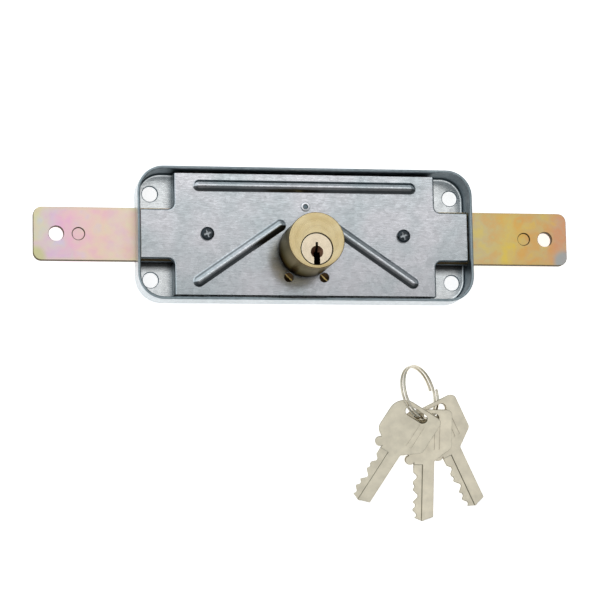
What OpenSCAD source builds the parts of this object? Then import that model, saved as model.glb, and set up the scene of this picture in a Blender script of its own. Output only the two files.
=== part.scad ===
// Rim box lock for a rolling shutter: a pressed steel case with a recessed
// cover, a brass pin tumbler cylinder, and two flat bolts that a pinion on the
// cylinder plug drives apart. Its three keys lie beside it on their split ring.
// Frame: the back of the case lies on Z = 0, the cylinder points up along +Z,
// the bolts slide along X, and the origin is the middle of the case's back.

/* [Case] */
// Length of the case over its end walls
case_w = 142; // [138:0.5:150]
// Height of the case over its long walls
case_h = 56; // [54:0.5:62]
// Depth of the case from its back to its rim
case_d = 14; // [13.6:0.1:16]
// Thickness of the case sheet
case_sheet = 1.2; // [1:0.1:1.5]
// Radius of the case's upright corners
case_corner_r = 11; // [9:0.5:12]
// Outside radius of the bend between the floor and the walls
case_bend_r = 2.2; // [1.8:0.1:2.6]
// Distance between the mounting holes along the case
mount_pitch_x = 128.6; // [126:0.2:130]
// Distance between the mounting holes across the case
mount_pitch_y = 36.4; // [35:0.2:38]
// Diameter of a mounting hole
mount_hole_d = 6.4; // [5:0.1:7]

/* [Cover] */
// Thickness of the cover sheet
cover_sheet = 1.2; // [1:0.1:1.4]
// How far the cover's face lies below the rim
cover_recess = 3.4; // [2.8:0.1:3.8]
// Gap between the cover's edge and the case wall
cover_gap = 0.6; // [0.3:0.1:0.9]
// Gap between a long edge of the cover and the case
cover_edge_gap = 1.3; // [1:0.1:1.6]
// Length of the cover between its corner notches
cover_core_w = 110.8; // [108:0.2:112]
// Height of the tongues that reach the end walls
cover_tongue_h = 20.8; // [20:0.2:21.6]
// Radius of a notch's inside corner
notch_r = 2.6; // [2:0.1:3]
// Depth of the lip under the edge of a tongue
notch_lip = 1.2; // [0.6:0.1:1.6]
// Width of a pressed rib
rib_w = 4.6; // [4:0.1:5.2]
// Height of a pressed rib above the cover's face
rib_h = 1.1; // [0.9:0.1:1.3]
// Length of the straight rib
top_rib_l = 94.4; // [90:0.2:97]
// Distance of the straight rib from the case's middle
top_rib_y = 20.4; // [19.6:0.1:21.4]
// Foot of a slanting rib, from the case's middle
slant_foot = [45.3, -19.9];
// Head of a slanting rib, from the case's middle
slant_head = [10.9, 4.1];

/* [Bolts] */
// Width of a bolt
bolt_w = 22.3; // [21.6:0.1:22.6]
// Thickness of a bolt
bolt_t = 3; // [2.6:0.1:3.2]
// How far a thrown bolt stands out of the case
bolt_reach = 42.5; // [38:0.5:50]
// Radius of a bolt's outer corners
bolt_corner_r = 3.5; // [2:0.1:5]
// Height of a bolt's underside above the back of the case
bolt_z = 4.2; // [4:0.1:4.4]
// Diameter of the hole for an extension bar
bar_hole_d = 6.2; // [5:0.1:7]
// Distance of that hole from the bolt's end
bar_hole_inset = 9.5; // [8:0.1:11]
// Distance of the half-sheared button from that hole
button_pitch = 9.2; // [8.5:0.1:10]
// Diameter of the half-sheared button
button_d = 5.2; // [4:0.1:6]
// Depth to which the button is sheared
button_shear = 0.7; // [0.4:0.1:1.2]
// Side gap between a bolt and what guides it
bolt_gap = 0.25; // [0.15:0.05:0.35]

/* [Drive] */
// Teeth on the pinion
pinion_teeth = 8; // [8:2:10]
// Module of the pinion and the racks
gear_module = 0.8; // [0.7:0.02:0.8]
// Profile shift of the pinion, in modules
profile_shift = 0.5; // [0.45:0.01:0.55]
// Thinning of each rack tooth for backlash
backlash = 0.14; // [0.1:0.02:0.2]
// Turn of the key that draws the bolts in
key_turn = 360; // [180:30:360]
// Diameter of the pinion's lower journal
journal_d = 4; // [3.6:0.1:4.4]
// Width of the pinion's drive blade
blade_w = 5; // [4.4:0.1:5.2]
// Thickness of the pinion's drive blade
blade_t = 2; // [1.6:0.1:2.2]

/* [Cylinder] */
// Diameter of the cylinder housing
cyl_d = 23.3; // [22.6:0.1:23.6]
// Height of the housing's axis, from the case's middle
cyl_y = -6.2; // [-6.4:0.1:-6]
// How far the cylinder stands out past the rim
cyl_reach = 20.7; // [18:0.1:26]
// Bevel round the housing's front
cyl_bevel = 0.6; // [0.3:0.1:1]
// Diameter of the plug
plug_d = 12.9; // [12.7:0.1:13]
// Distance of the plug's axis below the housing's axis
plug_drop = 3.6; // [3.4:0.1:3.8]
// Depth of the plug's face below the housing's face
plug_sink = 0.25; // [0.1:0.05:0.5]
// Radial running gap of plug, pins and journal
run_gap = 0.05; // [0.03:0.01:0.08]
// Number of pin stacks
pin_count = 5; // [4:1:5]
// Distance between pin stacks
pin_pitch = 4; // [3.8:0.1:4.2]
// Distance of the first pin stack from the housing's face
pin_first = 5.2; // [4.8:0.1:5.4]
// Diameter of a pin
pin_d = 2.7; // [2.4:0.1:2.9]
// Height of the keyway
keyway_h = 9.2; // [8.8:0.1:9.4]
// Width of the keyway's narrow upper part
keyway_thin = 1; // [0.9:0.05:1.1]
// Width of the keyway's wide lower part
keyway_wide = 2.6; // [2.4:0.1:2.8]
// Diameter of the milled mouth round the keyway
keyway_mouth_d = 4.8; // [4:0.1:5.2]

/* [Fasteners] */
// Distance of the cover screws from the case's middle
cover_screw_x = 41.6; // [40:0.1:42.4]
// Head diameter of a cover screw
cover_screw_head_d = 5.7; // [5:0.1:6.2]
// Thread diameter of a cover screw
cover_screw_d = 3.5; // [3:0.1:3.8]
// Diameter of a cover pillar
pillar_d = 6; // [5.6:0.1:6.2]
// Place of a guide screw, from the case's middle
guide_screw = [7.5, -17.85];
// Head diameter of a guide screw
guide_head_d = 3.9; // [3.4:0.1:4]
// Shank diameter of a guide screw
guide_shank_d = 2.8; // [2.4:0.1:3]
// Diameter of the cover's hole over a guide screw
guide_hole_d = 4.3; // [4.2:0.1:4.4]
// Height of the rivet, from the case's middle
rivet_y = 12; // [11.6:0.1:12.6]
// Head diameter of the rivet
rivet_head_d = 4; // [3.6:0.1:4.4]
// Thickness of the backing plate
backing_t = 1.5; // [1.2:0.1:1.6]

/* [Keys] */
// Length of a key's blade, from its stop to its tip
key_blade_l = 23.6; // [22.6:0.2:24]
// Height of a key's blade
key_blade_h = 8.7; // [8.4:0.1:8.9]
// Thickness of a key
key_t = 2.1; // [1.8:0.05:2.1]
// Thickness of the cut edge of a blade
key_thin = 0.8; // [0.6:0.05:0.8]
// Width of a key's bow
key_bow_w = 21.5; // [20.5:0.1:21.5]
// Distance from the middle of the ring hole to the top of the bow
key_hole_inset = 3.6; // [3.2:0.1:3.6]
// Length of the ring hole
key_hole_l = 10.1; // [10:0.1:10.6]
// Width of the ring hole
key_hole_w = 3.9; // [3.8:0.1:4.2]
// Diameter of the split ring, at the middle of its wire
ring_d = 22.8; // [22.6:0.1:23]
// Diameter of the split ring's wire
ring_wire = 1.1; // [0.9:0.05:1.1]
// Advance of the wire in one turn of the ring
ring_pitch = 1.55; // [1.52:0.01:1.6]
// Distance of the ring's middle to the right of the case's middle
bunch_x = 47; // [40:1:60]
// Distance of the ring's middle in front of the case's middle
bunch_y = 66; // [60:1:80]

/* [Hidden] */
$fn = 64;

// Overlap that lets a cut run clear of the face it starts from
eps = 0.5;

// Levels above the back of the case
floor_z = case_sheet;
rim_z = case_d;
cover_top = rim_z - cover_recess;
cover_under = cover_top - cover_sheet;
backing_z = cover_under - backing_t;
bolt_top = bolt_z + bolt_t;
cyl_front = rim_z + cyl_reach;

// Inside of the case
inner_w = case_w - 2 * case_sheet;
inner_h = case_h - 2 * case_sheet;
inner_corner_r = case_corner_r - case_sheet;

// Cover outline
cover_w = inner_w - 2 * cover_gap;
cover_h = inner_h - 2 * cover_edge_gap;
cover_corner_x = cover_core_w / 2;
cover_corner_y = cover_tongue_h / 2;

// Axis of the plug and the pinion
plug_y = cyl_y - plug_drop;
plug_r = plug_d / 2;

// Gear sizes: the racks roll on the pitch circle, and the shifted reference line lies further out
pitch_r = gear_module * pinion_teeth / 2;
tooth_pitch = PI * gear_module;
pressure_angle = 20;
base_r = pitch_r * cos(pressure_angle);
pinion_tip_r = pitch_r + gear_module * (0.85 + profile_shift);
pinion_root_r = pitch_r - gear_module * (1.25 - profile_shift);
rack_line = pitch_r + gear_module * profile_shift;
rack_tip = rack_line - 0.95 * gear_module;
rack_root = pinion_tip_r + 0.2;
throw = 2 * PI * pitch_r * key_turn / 360;

// Bolts
bolt_end = case_w / 2 + bolt_reach;
slot_half = pillar_d / 2 + bolt_gap;
arm_end = 2 * tooth_pitch;
rack_count = ceil(throw / tooth_pitch) + 4;
left_arm_top = slot_half - bolt_gap;
right_arm_low = guide_screw[1] + guide_shank_d / 2 + bolt_gap;
prong_in = cover_screw_x - pillar_d / 2 - bolt_gap - 2.5;
fork_in = arm_end + 2 * throw + 0.6;
left_block_in = cover_screw_x - slot_half - 4;
right_neck_w = 8;

// Plug and cylinder
housing_bore_r = plug_r + run_gap;
spigot_r = plug_r + 1.15;
plug_back = backing_z;
circlip_z = plug_back + 0.4;
circlip_t = cover_under - circlip_z - 0.1;
circlip_groove_r = plug_r - 0.85;
circlip_r = plug_r + 0.9;
keyway_top = plug_y - plug_r + keyway_h;
keyway_step = plug_y - 1.2;
keyway_end = plug_back + 4;
chamber_d = pin_d + 2 * run_gap;
shear_gap = 0.2;
cap_t = 1.2;
chamber_top = cyl_y + cyl_d / 2 - cap_t - 0.3;
driver_l = 3.2;
// Cut depths of the key, read from its stop to its tip, in steps
bitting = [3, 1, 4, 2, 3];
cut_step = 0.5;
// Height of the key's uncut edge above the plug's axis when the key is in
key_edge = key_blade_h - plug_r + 0.15;
spring_wire = 0.35;
spring_turns = 5;

function pin_z(i) = cyl_front - pin_first - i * pin_pitch;
function key_pin_l(i) = plug_r - shear_gap - key_edge + cut_step * bitting[i];

// Fasteners
cyl_screw = [8.2, -1];
cyl_screw_d = 3;
cyl_screw_head_d = 5.2;
cyl_screw_l = 6.5;
guide_head_t = 0.8;
pan_head_t = 1.9;
pan_crown_r = 4.2;
cover_screw_grip = 5;
cross_w = 0.9;
cross_l = 3.2;
cross_t = 1.2;
pillar_foot_d = 4;
bush_foot_d = 5.6;
bush_d = 6;
bush_flange_d = 9;
bush_flange_t = 0.8;

galvanised = [0.66, 0.69, 0.71];
yellow_zinc = [0.82, 0.72, 0.45];
brass = [0.84, 0.73, 0.42];
nickel = [0.8, 0.77, 0.7];
steel = [0.6, 0.6, 0.62];
black_zinc = [0.13, 0.14, 0.15];

// Rectangle with round corners, centred
module rounded_rect(w, h, r) {
    square([w - 2 * r, h], center = true);
    square([w, h - 2 * r], center = true);
    for (x = [-1, 1], y = [-1, 1])
        translate([x * (w / 2 - r), y * (h / 2 - r)]) circle(r);
}

// Block with round upright corners and a round edge all the way round its foot
module drawn_block(w, h, d, corner_r, bend_r) {
    translate([0, 0, bend_r]) linear_extrude(d - bend_r) rounded_rect(w, h, corner_r);
    linear_extrude(bend_r) rounded_rect(w - 2 * bend_r, h - 2 * bend_r, corner_r - bend_r);
    for (y = [-1, 1])
        translate([0, y * (h / 2 - bend_r), bend_r])
            rotate([0, 90, 0]) cylinder(h = w - 2 * corner_r, r = bend_r, center = true);
    for (x = [-1, 1])
        translate([x * (w / 2 - bend_r), 0, bend_r])
            rotate([90, 0, 0]) cylinder(h = h - 2 * corner_r, r = bend_r, center = true);
    for (x = [-1, 1], y = [-1, 1])
        translate([x * (w / 2 - corner_r), y * (h / 2 - corner_r), bend_r])
            rotate_extrude() translate([corner_r - bend_r, 0]) circle(bend_r);
}

// Places its children at every corner of a rectangle
module at_corners(w, h) {
    for (x = [-1, 1], y = [-1, 1]) translate([x * w / 2, y * h / 2]) children();
}

// Round bar with ball ends between two points on one level, revolved about its own axis
module ball_bar(from, to, r) {
    run = to - from;
    length = norm(run);
    translate(from) rotate([0, 0, atan2(run[1], run[0])]) rotate([0, 90, 0]) rotate_extrude()
        intersection() {
            union() {
                circle(r);
                translate([0, length]) circle(r);
                square([r, length]);
            }
            translate([0, -r]) square([r, length + 2 * r]);
        }
}

// Deep-drawn tray with bolt slots in its end walls and mounting holes in its floor
module case() {
    color(galvanised) difference() {
        drawn_block(case_w, case_h, case_d, case_corner_r, case_bend_r);
        translate([0, 0, floor_z])
            drawn_block(inner_w, inner_h, case_d, inner_corner_r, case_bend_r - case_sheet);
        translate([0, 0, bolt_z + bolt_t / 2])
            cube([case_w + 2 * eps, bolt_w + 2 * bolt_gap, bolt_t + 2 * bolt_gap], center = true);
        translate([0, 0, -eps])
            at_corners(mount_pitch_x, mount_pitch_y) cylinder(h = floor_z + 2 * eps, d = mount_hole_d);
        for (x = [-1, 1])
            translate([x * cover_screw_x, 0, -eps]) cylinder(h = floor_z + 2 * eps, d = pillar_foot_d);
        translate([0, plug_y, -eps]) cylinder(h = floor_z + 2 * eps, d = bush_foot_d);
    }
}

// Outline of the cover: a core with a tongue to each end wall
module cover_outline() {
    difference() {
        square([cover_w, cover_h], center = true);
        for (x = [-1, 1], y = [-1, 1]) scale([x, y]) notch_outline();
    }
}

// One corner notch, drawn in the first quadrant, with a round inside corner
module notch_outline() {
    translate([cover_corner_x + notch_r, cover_corner_y])
        square([cover_w, cover_h]);
    translate([cover_corner_x, cover_corner_y + notch_r])
        square([cover_w, cover_h]);
    translate([cover_corner_x + notch_r, cover_corner_y + notch_r]) circle(notch_r);
}

// Turned-down edge of one notch, drawn in the first quadrant: a full wall beside
// the core and a shallow lip under the tongue, where the bolt passes below it
module notch_flange() {
    outer_r = notch_r + cover_sheet;
    wall_y = cover_corner_y + notch_r;
    lip_x = cover_corner_x + notch_r;
    wall_end = min(cover_h / 2, case_h / 2 - case_bend_r);
    translate([cover_corner_x - cover_sheet, wall_y, floor_z])
        cube([cover_sheet, wall_end - wall_y, cover_under - floor_z]);
    translate([lip_x, cover_corner_y - cover_sheet, cover_under - notch_lip])
        cube([cover_w / 2 - lip_x, cover_sheet, notch_lip]);
    translate([lip_x, wall_y, cover_under - notch_lip]) intersection() {
        difference() {
            cylinder(h = notch_lip, r = outer_r);
            translate([0, 0, -eps]) cylinder(h = notch_lip + 2 * eps, r = notch_r);
        }
        translate([-outer_r, -outer_r, 0]) cube([outer_r, outer_r, notch_lip]);
    }
}

// Rib radius whose chord at the cover's face is the rib's width
rib_r = (rib_w * rib_w / 4 + rib_h * rib_h) / (2 * rib_h);
rib_axis_z = cover_top + rib_h - rib_r;

// The three pressed ribs as solid bars of one radius
module rib_bars(r) {
    end_inset = rib_w / 2;
    top_end = top_rib_l / 2 - end_inset;
    ball_bar([-top_end, top_rib_y, rib_axis_z], [top_end, top_rib_y, rib_axis_z], r);
    for (x = [-1, 1])
        ball_bar([x * slant_foot[0], slant_foot[1], rib_axis_z],
                 [x * slant_head[0], slant_head[1], rib_axis_z], r);
}

// Pressed cover with ribs, corner notches and the holes of what is fixed to it
module cover() {
    color(galvanised) difference() {
        union() {
            translate([0, 0, cover_under]) linear_extrude(cover_sheet) cover_outline();
            intersection() {
                rib_bars(rib_r);
                translate([0, 0, cover_under + case_d / 2]) cube([case_w, case_h, case_d], center = true);
            }
            for (x = [0, 1], y = [0, 1]) mirror([x, 0, 0]) mirror([0, y, 0]) notch_flange();
        }
        rib_bars(rib_r - cover_sheet);
        translate([0, plug_y, cover_under - eps]) cylinder(h = cover_sheet + 2 * eps, r = spigot_r);
        translate([0, rivet_y, cover_under - eps]) cylinder(h = cover_sheet + 2 * eps, d = rivet_head_d / 2);
        for (x = [-1, 1]) {
            translate([x * cover_screw_x, 0, cover_under - eps])
                cylinder(h = cover_sheet + 2 * eps, d = cover_screw_d + 2 * bolt_gap);
            translate([x * guide_screw[0], guide_screw[1], cover_under - eps])
                cylinder(h = cover_sheet + 2 * eps, d = guide_hole_d);
            translate([x * cyl_screw[0], cyl_screw[1], cover_under - eps])
                cylinder(h = cover_sheet + 2 * eps, d = cyl_screw_d);
        }
    }
}

// Outer end of a bolt, drawn for the right side, from x = inside outwards
module bolt_blade(inside) {
    difference() {
        union() {
            translate([inside, -bolt_w / 2]) square([bolt_end - bolt_corner_r - inside, bolt_w]);
            translate([inside, -bolt_w / 2 + bolt_corner_r])
                square([bolt_end - inside, bolt_w - 2 * bolt_corner_r]);
            for (y = [-1, 1])
                translate([bolt_end - bolt_corner_r, y * (bolt_w / 2 - bolt_corner_r)]) circle(bolt_corner_r);
        }
        translate([bolt_end - bar_hole_inset, 0]) circle(d = bar_hole_d);
    }
}

// Slot in which a bolt rides over its cover pillar, drawn for the right side
module pillar_slot(open_to) {
    translate([cover_screw_x + throw, 0]) circle(slot_half);
    translate([open_to, -slot_half]) square([cover_screw_x + throw - open_to, 2 * slot_half]);
}

// Row of rack teeth that point to -Y from a root line at y = rack_root, with a gap at x = 0
module rack_teeth(first, count) {
    half_ref = (tooth_pitch / 2 - backlash) / 2;
    slope = tan(pressure_angle);
    half_tip = half_ref - (rack_line - rack_tip) * slope;
    half_root = half_ref + (rack_root - rack_line) * slope;
    for (i = [first : first + count - 1])
        translate([(i + 0.5) * tooth_pitch, 0])
            polygon([[-half_tip, rack_tip], [half_tip, rack_tip], [half_root, rack_root],
                     [half_root, rack_root + eps], [-half_root, rack_root + eps], [-half_root, rack_root]]);
}

// Sheared button beside the bar hole: a recess in the face and a boss on the back
module with_button(side) {
    place = side * (bolt_end - bar_hole_inset - button_pitch);
    difference() {
        union() {
            children();
            translate([place, 0, bolt_z - button_shear]) cylinder(h = bolt_t, d = button_d);
        }
        translate([place, 0, bolt_top - button_shear]) cylinder(h = button_shear + eps, d = button_d);
    }
}

// Left bolt: its arm runs over the pinion and carries the upper rack
module left_bolt() {
    arm_low = plug_y + rack_root;
    color(yellow_zinc) with_button(-1) translate([0, 0, bolt_z]) linear_extrude(bolt_t) {
        mirror([1, 0]) difference() {
            bolt_blade(left_block_in);
            translate([cover_screw_x, 0]) circle(slot_half);
            pillar_slot(cover_screw_x);
        }
        translate([-left_block_in - eps, arm_low])
            square([left_block_in + arm_end + eps, left_arm_top - arm_low]);
        translate([0, plug_y]) rack_teeth(2 - rack_count, rack_count);
    }
}

// Right bolt: its arm runs under the pinion and carries the lower rack
module right_bolt() {
    arm_top = plug_y - rack_root;
    color(yellow_zinc) with_button(1) translate([0, 0, bolt_z]) linear_extrude(bolt_t) {
        difference() {
            union() {
                bolt_blade(fork_in);
                translate([prong_in, slot_half]) square([fork_in - prong_in + eps, bolt_w / 2 - slot_half]);
                translate([fork_in, right_arm_low]) square([right_neck_w, -right_arm_low]);
            }
            pillar_slot(prong_in);
        }
        translate([-arm_end, right_arm_low])
            square([fork_in + arm_end + eps, arm_top - right_arm_low]);
        translate([0, plug_y]) mirror([0, 1]) rack_teeth(-2, rack_count);
    }
}

// Turned brass housing with an eccentric plug bore and drilled pin chambers
module cylinder_housing() {
    body_r = cyl_d / 2;
    color(brass) difference() {
        union() {
            translate([0, cyl_y, 0]) rotate_extrude()
                polygon([[0, cover_top], [body_r, cover_top], [body_r, cyl_front - cyl_bevel],
                         [body_r - cyl_bevel, cyl_front], [0, cyl_front]]);
            translate([0, plug_y, cover_under]) cylinder(h = cover_sheet + eps, r = spigot_r);
        }
        translate([0, plug_y, cover_under - eps])
            cylinder(h = cyl_front - cover_under + 2 * eps, r = housing_bore_r);
        for (i = [0 : pin_count - 1])
            translate([0, plug_y, pin_z(i)]) rotate([-90, 0, 0]) cylinder(h = cyl_d, d = chamber_d);
        for (x = [-1, 1])
            translate([x * cyl_screw[0], cyl_screw[1], cover_top - eps])
                cylinder(h = cyl_screw_l - cover_sheet + eps, d = cyl_screw_d);
    }
}

// Cross-section of the keyway in the plug's own axes, open at the plug's foot
module keyway_profile() {
    translate([-keyway_thin / 2, -plug_d]) square([keyway_thin, keyway_top - plug_y + plug_d]);
    translate([-keyway_wide / 2, -plug_d]) square([keyway_wide, keyway_step - plug_y + plug_d]);
}

// Turned plug with its keyway, pin chambers, clip groove and drive slot
module cylinder_plug() {
    plug_front = cyl_front - plug_sink;
    mouth_t = 1.2;
    color(nickel) translate([0, plug_y, 0]) difference() {
        translate([0, 0, plug_back]) cylinder(h = plug_front - plug_back, r = plug_r);
        translate([0, 0, keyway_end]) linear_extrude(cyl_front - keyway_end + eps) keyway_profile();
        translate([0, -1.3, plug_front - mouth_t]) cylinder(h = mouth_t + eps, d = keyway_mouth_d);
        for (i = [0 : pin_count - 1])
            translate([0, 0, pin_z(i)]) rotate([-90, 0, 0]) cylinder(h = plug_d, d = chamber_d);
        translate([0, 0, circlip_z - run_gap]) difference() {
            cylinder(h = circlip_t + 2 * run_gap, r = plug_d);
            translate([0, 0, -eps]) cylinder(h = circlip_t + 2 * eps + 2 * run_gap, r = circlip_groove_r);
        }
        translate([0, 0, plug_back]) cube([blade_w + 4 * run_gap, blade_t + 4 * run_gap, 5], center = true);
    }
}

// Upright pin with coned ends, standing on the XZ plane and pointing along +Y
module lock_pin(length) {
    cone = 0.4;
    r = pin_d / 2;
    rotate([-90, 0, 0]) rotate_extrude()
        polygon([[0, 0], [r - cone, 0], [r, cone], [r, length - cone], [r - cone, length], [0, length]]);
}

// Key pins of five lengths, lifted to the shear line as the cut key lifts them
module key_pins() {
    color(brass) for (i = [0 : pin_count - 1])
        translate([0, plug_y + plug_r - shear_gap - key_pin_l(i), pin_z(i)]) lock_pin(key_pin_l(i));
}

driver_foot = plug_y + plug_r + shear_gap;

// Driver pins that wait in the housing above the shear line
module driver_pins() {
    color(brass) for (i = [0 : pin_count - 1])
        translate([0, driver_foot, pin_z(i)]) lock_pin(driver_l);
}

spring_foot = driver_foot + driver_l + spring_wire / 2;
spring_l = chamber_top - spring_foot - spring_wire / 2;
spring_r = chamber_d / 2 - spring_wire / 2 - run_gap;
spring_rings = 8;
spring_sides = 6;

// Point of a spring's surface: ring i along the coil, side j round the wire
function spring_point(i, j) =
    let (turn = 360 * i / spring_rings, side = 360 * j / spring_sides,
         r = spring_r + spring_wire / 2 * cos(side))
    [r * cos(turn), spring_foot + spring_l * i / (spring_rings * spring_turns) + spring_wire / 2 * sin(side),
     r * sin(turn)];

// Faces of a tube of stacked rings, closed at both ends
function tube_faces(rings, sides) = concat(
    [for (i = [0 : rings - 2], j = [0 : sides - 1])
        let (a = i * sides + j, b = i * sides + (j + 1) % sides) [a, b, b + sides]],
    [for (i = [0 : rings - 2], j = [0 : sides - 1])
        let (a = i * sides + j, b = i * sides + (j + 1) % sides) [a, b + sides, a + sides]],
    [for (j = [1 : sides - 2]) [0, j + 1, j]],
    [for (j = [1 : sides - 2]) let (s = (rings - 1) * sides) [s, s + j, s + j + 1]]);

// Coil springs that press the drivers down
module pin_springs() {
    rings = spring_rings * spring_turns + 1;
    points = [for (i = [0 : rings - 1], j = [0 : spring_sides - 1]) spring_point(i, j)];
    color(steel) for (i = [0 : pin_count - 1])
        translate([0, 0, pin_z(i)]) polyhedron(points, tube_faces(rings, spring_sides));
}

// Turned plugs that close the chambers flush with the housing's back
module chamber_caps() {
    color(brass) for (i = [0 : pin_count - 1]) intersection() {
        translate([0, chamber_top, pin_z(i)]) rotate([-90, 0, 0]) cylinder(h = cyl_d, d = chamber_d);
        translate([0, cyl_y, cover_top]) cylinder(h = cyl_front, d = cyl_d);
    }
}

// Open clip that keeps the plug in its housing
module plug_circlip() {
    gap_angle = 70;
    color(steel) translate([0, plug_y, circlip_z]) rotate([0, 0, 270 + gap_angle / 2])
        rotate_extrude(angle = 360 - gap_angle)
            translate([circlip_groove_r + run_gap, 0])
                square([circlip_r - circlip_groove_r - run_gap, circlip_t]);
}

// Involute helpers: the angle at which a flank reaches radius r, from its own foot
function involute_angle(r) = let (a = acos(base_r / r)) tan(a) * 180 / PI - a;
// Half the angle that a tooth spans at radius r
function half_tooth(r) =
    (PI / 2 + 2 * profile_shift * tan(pressure_angle)) * gear_module / (2 * pitch_r) * 180 / PI
    + involute_angle(pitch_r) - involute_angle(r);
function on_circle(r, a) = [r * cos(a), r * sin(a)];
flank_steps = 5;
function flank_r(k) = base_r + (pinion_tip_r - base_r) * k / flank_steps;
function tooth_outline(a) = concat(
    [on_circle(pinion_root_r, a - half_tooth(base_r))],
    [for (k = [0 : flank_steps]) on_circle(flank_r(k), a - half_tooth(flank_r(k)))],
    [for (k = [flank_steps : -1 : 0]) on_circle(flank_r(k), a + half_tooth(flank_r(k)))],
    [on_circle(pinion_root_r, a + half_tooth(base_r))]);

// Pinion on a journal, with a blade that the plug's slot turns
module drive_pinion() {
    journal_foot = floor_z - 0.3;
    color(steel) translate([0, plug_y, 0]) {
        translate([0, 0, bolt_z]) linear_extrude(bolt_t)
            polygon([for (t = [0 : pinion_teeth - 1]) each tooth_outline(90 + 360 * t / pinion_teeth)]);
        translate([0, 0, journal_foot]) cylinder(h = bolt_z - journal_foot + bolt_t / 2, d = journal_d);
        translate([-blade_w / 2, -blade_t / 2, bolt_top - bolt_t / 2])
            cube([blade_w, blade_t, plug_back + 2.3 - bolt_top + bolt_t / 2]);
    }
}

// Flanged bush that carries the pinion's journal, pressed into the case floor
module pinion_bush() {
    seat_gap = 0.1;
    color(brass) translate([0, plug_y, 0]) difference() {
        union() {
            cylinder(h = bolt_z - seat_gap, d = bush_foot_d);
            translate([0, 0, floor_z]) cylinder(h = bolt_z - seat_gap - floor_z, d = bush_d);
            translate([0, 0, floor_z]) cylinder(h = bush_flange_t, d = bush_flange_d);
        }
        translate([0, 0, floor_z - 0.4]) cylinder(h = bolt_z, r = journal_d / 2 + run_gap);
    }
}

// Plate behind the cover that stiffens it round the cylinder
module backing_plate() {
    low = guide_screw[1] - 3.4;
    high = rivet_y + 3.4;
    wide = 2 * (cyl_screw[0] + 5);
    clip_room = 0.6;
    color(steel) translate([0, 0, backing_z]) difference() {
        translate([0, (low + high) / 2, 0]) linear_extrude(backing_t) rounded_rect(wide, high - low, 3);
        translate([0, plug_y, -eps]) cylinder(h = backing_t + 2 * eps, r = circlip_r + clip_room);
        translate([0, rivet_y, -eps]) cylinder(h = backing_t + 2 * eps, d = rivet_head_d / 2);
        for (x = [-1, 1]) {
            translate([x * guide_screw[0], guide_screw[1], -eps])
                cylinder(h = backing_t + 2 * eps, d = guide_shank_d);
            translate([x * cyl_screw[0], cyl_screw[1], 0]) screw_sink();
        }
    }
}

// Space of a countersunk screw in the backing plate, with its head on Z = 0
module screw_sink() {
    head_t = (cyl_screw_head_d - cyl_screw_d) / 2;
    rotate_extrude()
        polygon([[0, 0], [cyl_screw_head_d / 2, 0], [cyl_screw_d / 2, head_t],
                 [cyl_screw_d / 2, backing_t + cyl_screw_l], [0, backing_t + cyl_screw_l]]);
}

// Semi-tubular rivet that holds the backing plate to the cover
module backing_rivet() {
    shank_r = rivet_head_d / 4;
    head_t = 0.5;
    foot_t = 0.3;
    hollow_r = 0.65;
    color(galvanised) translate([0, rivet_y, 0]) difference() {
        union() {
            translate([0, 0, backing_z]) cylinder(h = cover_top - backing_z, r = shank_r);
            translate([0, 0, cover_top])
                cylinder(h = head_t, d1 = rivet_head_d, d2 = rivet_head_d - head_t);
            translate([0, 0, backing_z - foot_t]) cylinder(h = foot_t, r = shank_r + 0.8);
        }
        translate([0, 0, cover_top - 1]) cylinder(h = 2, r = hollow_r);
    }
}

// Slotted shoulder screws: the heads sit in the cover's holes and the shanks guide the lower rack
module guide_screws() {
    slot_w = 0.8;
    foot_gap = 0.1;
    color(brass) for (x = [-1, 1])
    translate([x * guide_screw[0], guide_screw[1], 0]) difference() {
        union() {
            translate([0, 0, floor_z + foot_gap])
                cylinder(h = cover_under - floor_z - foot_gap, d = guide_shank_d);
            translate([0, 0, cover_under]) cylinder(h = guide_head_t, d = guide_head_d);
        }
        translate([0, 0, cover_under + guide_head_t]) rotate([0, 0, -45])
            cube([guide_head_d + eps, slot_w, guide_head_t], center = true);
    }
}

// Turned pillars, riveted flush into the case floor, that carry the cover and guide the bolts
module cover_pillars() {
    thread_l = 6;
    color(steel) for (x = [-1, 1]) translate([x * cover_screw_x, 0, 0]) difference() {
        union() {
            cylinder(h = floor_z + eps, d = pillar_foot_d);
            translate([0, 0, floor_z]) cylinder(h = cover_under - floor_z, d = pillar_d);
        }
        translate([0, 0, cover_under - thread_l]) cylinder(h = thread_l + eps, d = cover_screw_d);
    }
}

// Cross-recessed pan-head screws that hold the cover down
module cover_screws() {
    color(black_zinc) for (x = [-1, 1]) translate([x * cover_screw_x, 0, cover_top]) difference() {
        union() {
            intersection() {
                cylinder(h = pan_head_t, d = cover_screw_head_d);
                translate([0, 0, pan_head_t - pan_crown_r]) sphere(pan_crown_r);
            }
            translate([0, 0, -cover_screw_grip]) cylinder(h = cover_screw_grip + eps, d = cover_screw_d);
        }
        for (a = [0, 90])
            rotate([0, 0, a + 20]) translate([-cross_l / 2, -cross_w / 2, pan_head_t - cross_t])
                cube([cross_l, cross_w, cross_t + eps]);
    }
}

// Countersunk screws that draw the cylinder down onto the cover
module cylinder_screws() {
    slot_t = 0.7;
    slot_w = 0.8;
    color(steel) for (x = [-1, 1])
    translate([x * cyl_screw[0], cyl_screw[1], backing_z]) difference() {
        screw_sink();
        translate([0, 0, slot_t / 2 - eps])
            cube([cyl_screw_head_d + eps, slot_w, slot_t + 2 * eps], center = true);
    }
}

// The split ring leans with its middle on the floor beside the case
ring_lean = 44;
ring_heading = 14;
ring_z = ring_d / 2 * sin(ring_lean) + ring_pitch * cos(ring_lean) + ring_wire / 2;
ring_rings = 28;
ring_sides = 8;

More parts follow.
